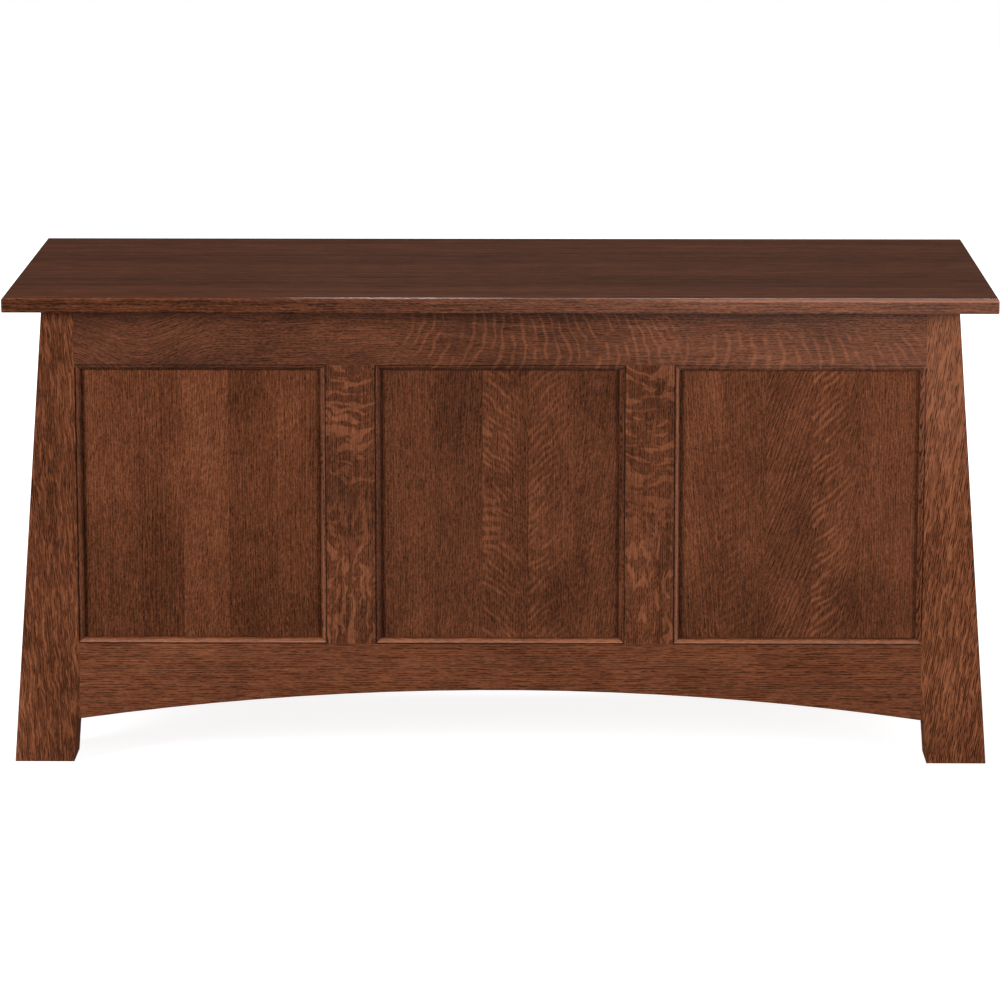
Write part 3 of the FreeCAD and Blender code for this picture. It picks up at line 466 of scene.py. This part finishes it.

# Seed, tone, lean of the grain, how much paler and glossier the top is, partly wood and partly painted sheen,
# change of tone at the foot, depth of the pores and the painted light on the moulding's round
LEGS = {
    "front_left_leg": (11.0, 0.42, -0.06, 0.0, 0.05, 0.32, 0.6),
    "front_right_leg": (23.0, 0.63, 0.14, 0.20, -0.09, 0.60, 0.1),
    "back_left_leg": (31.0, 0.50, -0.04, 0.05, -0.03, 0.40, 0.3),
    "back_right_leg": (43.0, 0.52, 0.06, 0.0, -0.03, 0.40, 0.3),
}
for name, (seed, tone, lean, paler, footing, depth, painted_light) in LEGS.items():
    board = Board(name, "zxy", seed, lean)
    away = abs(board.across)
    edges = moulding(away, [(SIGHT_HALF, 1, painted_light, 0.1)])
    beside = (board.along > MOULDED_FROM) * (board.along < MOULDED_TO)
    edges = {key: value * beside for key, value in edges.items()}
    # The paler top is partly lighter wood and partly a painted sheen that lifts the tone and adds coat.
    upper = board.along.rise(0.26, 0.50) * paler
    edges["gloss"] = upper + edges["gloss"]
    moulded = beside * (away < SIGHT_HALF + MOULDING_WIDTH)
    flecks = wavy_flecks(board, 1.0 - moulded, length=0.026, width=0.0026, reach=0.014)
    tone = upper * 0.6 + board.along.rise(0.15, 0.04) * footing + tone
    finish_oak(board, tone, flecks, gain=0.25, spacing=0.0023, length=0.009, depth=depth, grit=0.50,
               sheen=0.01, **edges)
    dress(name, board)
print("legs:", len(LEGS))

# %% [markdown]
# The mullions show the boldest figure: broad bars across the grain in the upper half, and lens-shaped
# flecks along it lower down. Both keep to the flat between the two moulded edges.

# %% Mullions
MULLION_IN = 0.1352
MULLION_OUT = 0.2037

# Seed, tone, side of the chest and the painted light on the inner and the outer moulding's round
MULLIONS = {
    "front_left_mullion": (37.0, 0.43, -1, 0.5, 0.7),
    "front_right_mullion": (41.0, 0.48, 1, 0.1, 1.5),
    "back_left_mullion": (47.0, 0.48, -1, 0.4, 0.4),
    "back_right_mullion": (53.0, 0.47, 1, 0.4, 0.4),
}
for name, (seed, tone, side, painted_light_in, painted_light_out) in MULLIONS.items():
    board = Board(name, "zxy", seed)
    away = abs(board.across)
    edges = moulding(away, [(MULLION_IN, 1, painted_light_in, 0.1), (MULLION_OUT, -1, painted_light_out, 0.3)])
    flat = (away > MULLION_IN + MOULDING_WIDTH) * (away < MULLION_OUT - MOULDING_WIDTH)
    middle = (MULLION_IN + MULLION_OUT) * 0.5 * side
    bars = blotchy_flecks(board, middle, board.along.rise(0.20, 0.40) * 0.75 + 0.25)
    lenses = wavy_flecks(board, board.along.rise(0.36, 0.24), length=0.020, width=0.0060)
    flecks = (bars + lenses * (1.0 - bars)) * flat
    finish_oak(board, tone, flecks, gain=0.26, spacing=0.0022, length=0.0040, depth=0.42, grit=0.45,
               **edges)
    dress(name, board)
print("mullions:", len(MULLIONS))

# %% [markdown]
# The rails lie level. A top rail has a fan of bent flecks near its middle, a swirl of grain to the left of
# it, and lower bars under dark level dashes to the right, where a painted sheen makes it lighter and
# glossier. A bottom rail is cut so that its pores make strong level dashes and hardly any fleck shows.


# %% Rails
TOP_SIGHT = 0.4548
BOTTOM_SIGHT = 0.1457
SWIRL = -0.41
FAN_MIDDLE, FAN_LEVEL, FAN_STEP, FAN_REACH = 0.045, 0.485, 0.0118, 0.20
BARS_MIDDLE, BARS_LEVEL, BARS_STEP, BARS_REACH = 0.335, 0.465, 0.0150, 0.19
LINE_LEVEL = 0.508


def finish_top_rail(board, tone):
    """Bent flecks in two groups, with a thin level fleck across the first."""
    # The round over the panels gets painted shade.
    edges = moulding(board.across, [(TOP_SIGHT, 1, 0.0, 0.0)])
    board.grain = board.grain + close_to(board.along, [SWIRL], 0.10) * 0.030
    fan = bent_flecks(board, FAN_MIDDLE, FAN_LEVEL, FAN_STEP, FAN_REACH)
    bars = bent_flecks(board, BARS_MIDDLE, BARS_LEVEL, BARS_STEP, BARS_REACH)
    bars = bars * board.across.rise(0.506, 0.488)
    line = close_to(board.across + board.along * 0.05, [LINE_LEVEL], 0.0016)
    line = line * abs(board.along + 0.015).rise(0.12, 0.06)
    # Towards the right a painted sheen lightens the tone and adds coat, and the pores there are deeper.
    painted_sheen = board.along.rise(-0.05, 0.36)
    edges["gloss"] = painted_sheen * 0.18 + edges["gloss"]
    depth = painted_sheen * board.across.rise(0.485, 0.500) * 0.20 + 0.26
    finish_oak(board, painted_sheen * 0.11 + tone, fan + bars * 0.9 + line * 0.6, gain=0.20, spacing=0.0024,
               length=0.0040, depth=depth, grit=0.45, stripe=0.30, sheen=0.12, **edges)


def finish_bottom_rail(board, tone):
    """Long pores in close rows, and a painted highlight on the moulding along the upper edge."""
    edges = moulding(board.across, [(BOTTOM_SIGHT, -1, 1.2, 1.0)])
    finish_oak(board, tone, wavy_flecks(board, 0.15), gain=0.2, spacing=0.0027, length=0.011, **edges)


# Axes, seed, tone and sway of the grain
TOP_RAILS = {
    "front_top_rail": ("xzy", 67.0, 0.39, 0.020),
    "back_top_rail": ("xzy", 73.0, 0.46, 0.012),
    "left_top_rail": ("yzx", 85.0, 0.50, 0.012),
    "right_top_rail": ("yzx", 97.0, 0.52, 0.012),
}
BOTTOM_RAILS = {
    "front_bottom_rail": ("xzy", 59.0, 0.56, 0.004),
    "back_bottom_rail": ("xzy", 79.0, 0.54, 0.004),
    "left_bottom_rail": ("yzx", 91.0, 0.52, 0.004),
    "right_bottom_rail": ("yzx", 103.0, 0.50, 0.004),
}
for finish, rails in ((finish_top_rail, TOP_RAILS), (finish_bottom_rail, BOTTOM_RAILS)):
    for name, (axes, seed, tone, sway) in rails.items():
        board = Board(name, axes, seed, 0.0, sway)
        finish(board, tone)
        dress(name, board)
print("rails:", len(TOP_RAILS) + len(BOTTOM_RAILS))

# %% [markdown]
# A panel is glued up from strips about 54 mm wide. Neighbours come from other boards, so each strip has its
# own tone, lean and fleck, and some show growth lines or a ladder of level bars. At each glue line a step
# switches from one strip's value to the next, and clouds of darker stain lie over several strips.


# %% Parts of a panel's figure
RING_STEP = 0.0050
LADDER_STEP = 0.0108
LADDER_MIDDLE = 0.281


def stepped(across, edges, values):
    """The first value, changing to the next one at each edge."""
    total = values[0]
    for edge, before, after in zip(edges, values, values[1:]):
        total = (across > edge) * (after - before) + total
    return total


def smudges(board, spots):
    """Darker clouds of stain, from rows of place along and across, half length, half width and depth."""
    total = 0.0
    for along, across, length, width, depth in spots:
        up = (board.along - along) / length
        aside = (board.across - across) / width
        total = (up * up + aside * aside).rise(1.0, 0.0) * depth + total
    return total


def growth_lines(board):
    """Dark lines along the grain, which wander a little."""
    off = lanes(board.grain / RING_STEP + board.streaks((0.12, 0.04, 0.04), 16) * 3.0)[1]
    return off.rise(0.34, 0.08)


def level_bars(board, run):
    """A ladder of short level bars at the start of a strip, above and below the ladder's middle."""
    off = lanes((board.along + board.patches((0.02, 0.02, 0.02), 18) * 0.006) / LADDER_STEP)[1]
    near = abs(board.along - LADDER_MIDDLE).rise(0.042, 0.026)
    return off.rise(0.34, 0.14) * run.rise(0.026, 0.014) * near


# %% [markdown]
# One function finishes a panel from a table with a row for each strip, so that a panel is described like a
# list of boards that are picked and glued.


# %% Front panels
STRIP_SHIFT = 0.73


def panel(name, axes, seed, sights, edges, strips, spots=(), sheen=0.05):
    """A glued-up panel: the strips meet at the edges, and each has its tone, the lean and amount of its
    flecks, the lean of its grain, and the amounts of growth lines and level bars."""
    board = Board(name, axes, seed)
    columns = (stepped(board.across, edges, values) for values in zip(*strips))
    tone, lean, amount, grain, lines, bars = columns
    tone = tone - smudges(board, spots)
    run = board.across - stepped(board.across, edges, (sights[0], *edges))
    ladder = level_bars(board, run) * bars
    board.grain = board.grain - board.along * grain
    board.along = board.along + stepped(board.across, edges, range(len(strips))) * STRIP_SHIFT
    tone = tone - growth_lines(board) * lines
    flecks = slanted_flecks(board, run, lean, amount) * (1.0 - ladder) + ladder
    # Painted shade darkens each panel along its sight lines, beside the frame.
    finish_oak(board, tone, flecks, spacing=0.0029, length=0.0026, depth=0.26, grit=0.50, stripe=0.15,
               cloud=0.40, fibre=0.012, glaze=close_to(board.across, sights, 0.006) * 0.6, sheen=sheen)
    dress(name, board)


# Sight lines at both sides, and glue lines between them
STRIPS = {
    "left": ((-SIGHT_HALF, -MULLION_OUT), (-0.410, -0.360, -0.308, -0.253)),
    "center": ((-MULLION_IN, MULLION_IN), (-0.074, -0.020, 0.032, 0.085)),
    "right": ((MULLION_OUT, SIGHT_HALF), (0.250, 0.302, 0.354, 0.408)),
}

# Tone, lean and amount of flecks, lean of the grain, growth lines and level bars of each strip
LEFT_PANEL = (
    (0.51, 0.3, 0.1, 0.0, 0.0, 0.0),
    (0.51, 0.0, 0.1, 0.0, 0.10, 0.0),
    (0.61, 0.5, 0.3, 0.06, 0.02, 0.0),
    (0.45, 0.2, 0.2, 0.0, 0.0, 0.0),
    (0.52, 0.3, 0.2, 0.0, 0.06, 0.0),
)
CENTER_PANEL = (
    (0.46, 0.0, 0.0, 0.0, 0.03, 0.0),
    (0.42, 0.3, 0.1, 0.04, 0.0, 0.0),
    (0.43, -0.6, 1.0, 0.0, 0.0, 1.0),
    (0.44, 0.7, 0.9, 0.0, 0.0, 0.0),
    (0.43, 0.6, 0.3, 0.1, 0.02, 0.0),
)
RIGHT_PANEL = (
    (0.57, 0.2, 0.1, -0.08, 0.08, 0.0),
    (0.47, 0.5, 0.4, 0.0, 0.0, 0.0),
    (0.54, 0.9, 0.2, 0.36, 0.16, 0.0),
    (0.47, 0.7, 1.2, 0.2, 0.0, 0.0),
    (0.55, 0.2, 0.1, 0.0, 0.0, 0.0),
)

# Place along and across, half length, half width and depth of each cloud
LEFT_CLOUDS = (
    (0.435, -0.290, 0.05, 0.03, 0.08),
    (0.14, -0.339, 0.20, 0.35, 0.11),
)
CENTER_CLOUDS = (
    (0.405, -0.046, 0.065, 0.045, 0.07),
    (0.43, 0.11, 0.05, 0.04, 0.06),
    (0.20, 0.08, 0.06, 0.04, 0.08),
    (0.18, 0.01, 0.06, 0.06, 0.08),
)
RIGHT_CLOUDS = (
    (0.15, 0.25, 0.12, 0.09, 0.14),
    (0.25, 0.34, 0.07, 0.04, 0.12),
    (0.18, 0.42, 0.05, 0.09, 0.12),
)

panel("front_left_panel", "zxy", 71.0, *STRIPS["left"], LEFT_PANEL, LEFT_CLOUDS, sheen=0.01)
panel("front_center_panel", "zxy", 83.0, *STRIPS["center"], CENTER_PANEL, CENTER_CLOUDS)
panel("front_right_panel", "zxy", 97.0, *STRIPS["right"], RIGHT_PANEL, RIGHT_CLOUDS)
print("front panels:", len(STRIPS))

# %% [markdown]
# The panels of the back and the sides are glued up in the same way. Nobody sees them in the photograph, so
# their strips take turns in one list of tones and flecks.

# %% Back and side panels
SPARE_STRIPS = (
    (0.50, 0.5, 0.2, 0.0, 0.02, 0.0),
    (0.44, -0.6, 0.7, 0.05, 0.0, 0.5),
    (0.55, 0.7, 0.3, -0.04, 0.05, 0.0),
    (0.47, 0.2, 0.1, 0.1, 0.0, 0.0),
    (0.51, -0.7, 0.8, 0.0, 0.0, 0.0),
    (0.49, 0.4, 0.3, -0.08, 0.10, 0.0),
)
SIDE_STRIPS = ((-0.1667, 0.1833), (-0.108, -0.050, 0.008, 0.066, 0.125))
FIRST_SEED = 107.0
NEXT_SEED = 6.0


def take_turns(start, count):
    """So many strips from the list, beginning at the start and going round."""
    return [SPARE_STRIPS[(start + step) % len(SPARE_STRIPS)] for step in range(count)]


others = [("back_" + side + "_panel", "zxy", *strips) for side, strips in STRIPS.items()]
others += [(side + "_panel", "zyx", *SIDE_STRIPS) for side in ("left", "right")]
for turn, (name, axes, sights, edges) in enumerate(others):
    panel(name, axes, FIRST_SEED + turn * NEXT_SEED, sights, edges, take_turns(turn, len(edges) + 1))
print("other panels:", len(others))

# %% [markdown]
# The lid is glued up from boards that run its whole length. It is darker and smoother than the front, with
# its pores almost filled, and its front edge shows the dashes again. That edge carries painted highlights:
# a pale line along its upper round and at its corners, and a pale, glossier band below it. It gets lighter
# and glossier to the right as a painted sheen, and its round is glossiest, a painted highlight, a little left
# of its middle and towards the right.

# %% Lid
LID_BOARDS = (-0.16, -0.07, 0.03, 0.12, 0.19)
LID_TONES = (0.35, 0.26, 0.31, 0.24, 0.29, 0.23)
HIGHLIGHT_PEAK = -0.12

# Distances back from the front face
EDGE_FULL, EDGE_GONE = 0.0012, 0.0037
SMOOTH_TO, BUMPY_FROM = 0.0027, 0.0047
ROUND_START = 0.0028

# Distances down from the top
HIGHLIGHT_LINE_BELOW = 0.0010
HIGHLIGHT_BAND_BELOW = 0.0024
ROUND_BELOW = 0.0060

lid_low, lid_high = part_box("lid_panel")
face, end, top = lid_low.y, lid_high.x, lid_high.z
board = Board("lid_panel", "xyz", 5.0)
edge = board.across.rise(face + EDGE_GONE, face + EDGE_FULL)
# Painted sheen to the right, and painted highlights along the upper round, at the corners and in a band
# below.
rightward = board.along.rise(-0.40, 0.40)
highlight_strength = close_to(board.along, [HIGHLIGHT_PEAK], 0.17) * 1.3 + rightward * 0.4
arris = close_to(board.across, [face + ROUND_START], 0.0014) * (board.into > top - ROUND_BELOW) * highlight_strength
corners = close_to(abs(board.along), [end], 0.0026) * edge
painted_highlight_line = close_to(board.into, [top - HIGHLIGHT_LINE_BELOW], 0.0016) * edge + corners
painted_light = close_to(board.into, [top - HIGHLIGHT_BAND_BELOW], 0.0026) * edge * board.along.rise(0.08, 0.30)
# The painted sheen and highlights lift the tone and add coat.
tone = stepped(board.across, LID_BOARDS, LID_TONES) + edge * (rightward * 0.14 - 0.05)
tone = tone + painted_highlight_line * 0.30 + painted_light * 0.25
gloss = edge * rightward * 0.40 + arris * 0.7 + painted_light * 0.8
finish_oak(board, tone, wavy_flecks(board, 0.15), gain=0.2, spacing=0.0024, length=0.010,
           depth=edge * 0.24 + 0.08, grit=edge * 0.4 + 0.2, stripe=0.6, cloud=0.2, gloss=gloss, sheen=0.035,
           relief=board.across.rise(face + SMOOTH_TO, face + BUMPY_FROM))
dress("lid_panel", board)
print("lid boards:", len(LID_TONES))

# %% [markdown]
# The battens under the lid and the cleats under the floor are of the same oak, but they are never stained
# as dark: they get one thin coat and stay matt.

# %% Battens and cleats
PLAIN_OAK = (
    (0.00, (0.055, 0.020, 0.0085)),
    (0.50, (0.165, 0.066, 0.0280)),
    (1.00, (0.320, 0.145, 0.0680)),
)

# Axes and seed
INSIDE_OAK = {
    "left_batten": ("yxz", 131.0),
    "right_batten": ("yxz", 137.0),
    "front_cleat": ("xzy", 139.0),
    "back_cleat": ("xzy", 149.0),
    "left_cleat": ("yzx", 151.0),
    "right_cleat": ("yzx", 157.0),
}
for name, (axes, seed) in INSIDE_OAK.items():
    board = Board(name, axes, seed)
    finish_oak(board, 0.5, wavy_flecks(board, 0.3), sheen=0.02, stain=PLAIN_OAK)
    dress(name, board)
print("battens and cleats:", len(INSIDE_OAK))

# %% [markdown]
# The floor boards are red cedar, which keeps moths away and is left bare. Its heartwood is pinkish brown
# with fine close rings and no pores, and streaks of pale sapwood run through some boards. Every board has a
# number, the whole part of its distance across divided by the width, and the number shifts its pattern.

# %% Floor boards
CEDAR = (
    (0.00, (0.130, 0.036, 0.0160)),
    (0.40, (0.300, 0.100, 0.0440)),
    (0.70, (0.400, 0.165, 0.0780)),
    (1.00, (0.600, 0.370, 0.2100)),
)
CEDAR_WIDTH = 0.1051
CEDAR_SHIFT = 1.37
CEDAR_BUMP = 0.0001

board = Board("floor_boards", "yxz", 163.0, 0.0, 0.012)
number = (board.across / CEDAR_WIDTH + 0.5).floor()
board.along = board.along + number * CEDAR_SHIFT
board.grain = board.grain + number * 0.021
rings = board.streaks((0.5, 0.0050, 0.0050), 1, 2.0)
fibres = board.streaks((0.04, 0.0012, 0.0012), 2)
sapwood = board.streaks((0.6, 0.035, 0.035), 3).rise(0.56, 0.68)
level = (rings - 0.5) * 0.7 + (fibres - 0.5) * 0.35 + sapwood * 0.35 + 0.42
board.surface({
    "Base Color": board.ramp(level, CEDAR),
    "Roughness": 0.7 - sapwood * 0.08,
    "Specular IOR Level": 0.15,
}, (fibres - 0.5) * 0.6 + rings, CEDAR_BUMP)
dress("floor_boards", board)
print("floor boards dressed")

# %% [markdown]
# Hinges, stays and screws are brass that has gone brown with age. The metal was brushed along its length,
# so fine lines cross it, and a darker bloom lies over it in patches, duller where it is thick.


# %% Brass
AGED_BRASS = (
    (0.0, (0.085, 0.052, 0.0240)),
    (0.5, (0.260, 0.165, 0.0700)),
    (1.0, (0.480, 0.335, 0.1500)),
)
BRUSH_BUMP = 0.00003


def finish_brass(name, axes, seed, tone):
    """Brushed brass with lines along the first axis."""
    metal = Board(name, axes, seed, 0.0, 0.0)
    brushed = metal.streaks((0.03, 0.0004, 0.0004), 1)
    bloom = metal.patches((0.012, 0.012, 0.012), 2, 3.0)
    level = (brushed - 0.5) * 0.5 - (bloom - 0.5) * 1.1 + tone
    metal.surface({
        "Base Color": metal.ramp(level, AGED_BRASS),
        "Metallic": 1.0,
        "Roughness": bloom * 0.35 + (brushed - 0.5) * 0.2 + 0.2,
    }, brushed, BRUSH_BUMP)
    return metal


brass = {
    "hinge_brass": finish_brass("hinge_brass", "xyz", 167.0, 0.55),
    "stay_brass": finish_brass("stay_brass", "yzx", 173.0, 0.50),
}
dressed = 0
for name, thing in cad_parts.items():
    slot = thing.material_slots[0].name.split(".")[0]
    if slot in brass:
        dress(name, brass[slot])
        dressed += 1
print("brass pieces:", dressed)

# %% [markdown]
# Two soft bumpers on the front legs keep the lid from slamming. They are pale cushioned plastic with a fine
# pebbled skin.

# %% Bumpers
PALE_PLASTIC = ((0.0, (0.50, 0.50, 0.45)), (1.0, (0.68, 0.68, 0.62)))
PEBBLE_SIZE = 0.0007
PEBBLE_BUMP = 0.0001

bumper = Board("lid_bumpers", "xyz", 179.0, 0.0, 0.0)
pebble = bumper.patches((PEBBLE_SIZE, PEBBLE_SIZE, PEBBLE_SIZE), 1)
bumper.surface({
    "Base Color": bumper.ramp(pebble, PALE_PLASTIC),
    "Roughness": pebble * 0.3 + 0.45,
}, pebble, PEBBLE_BUMP)
dress("lid_bumpers", bumper)
print("bumpers dressed")
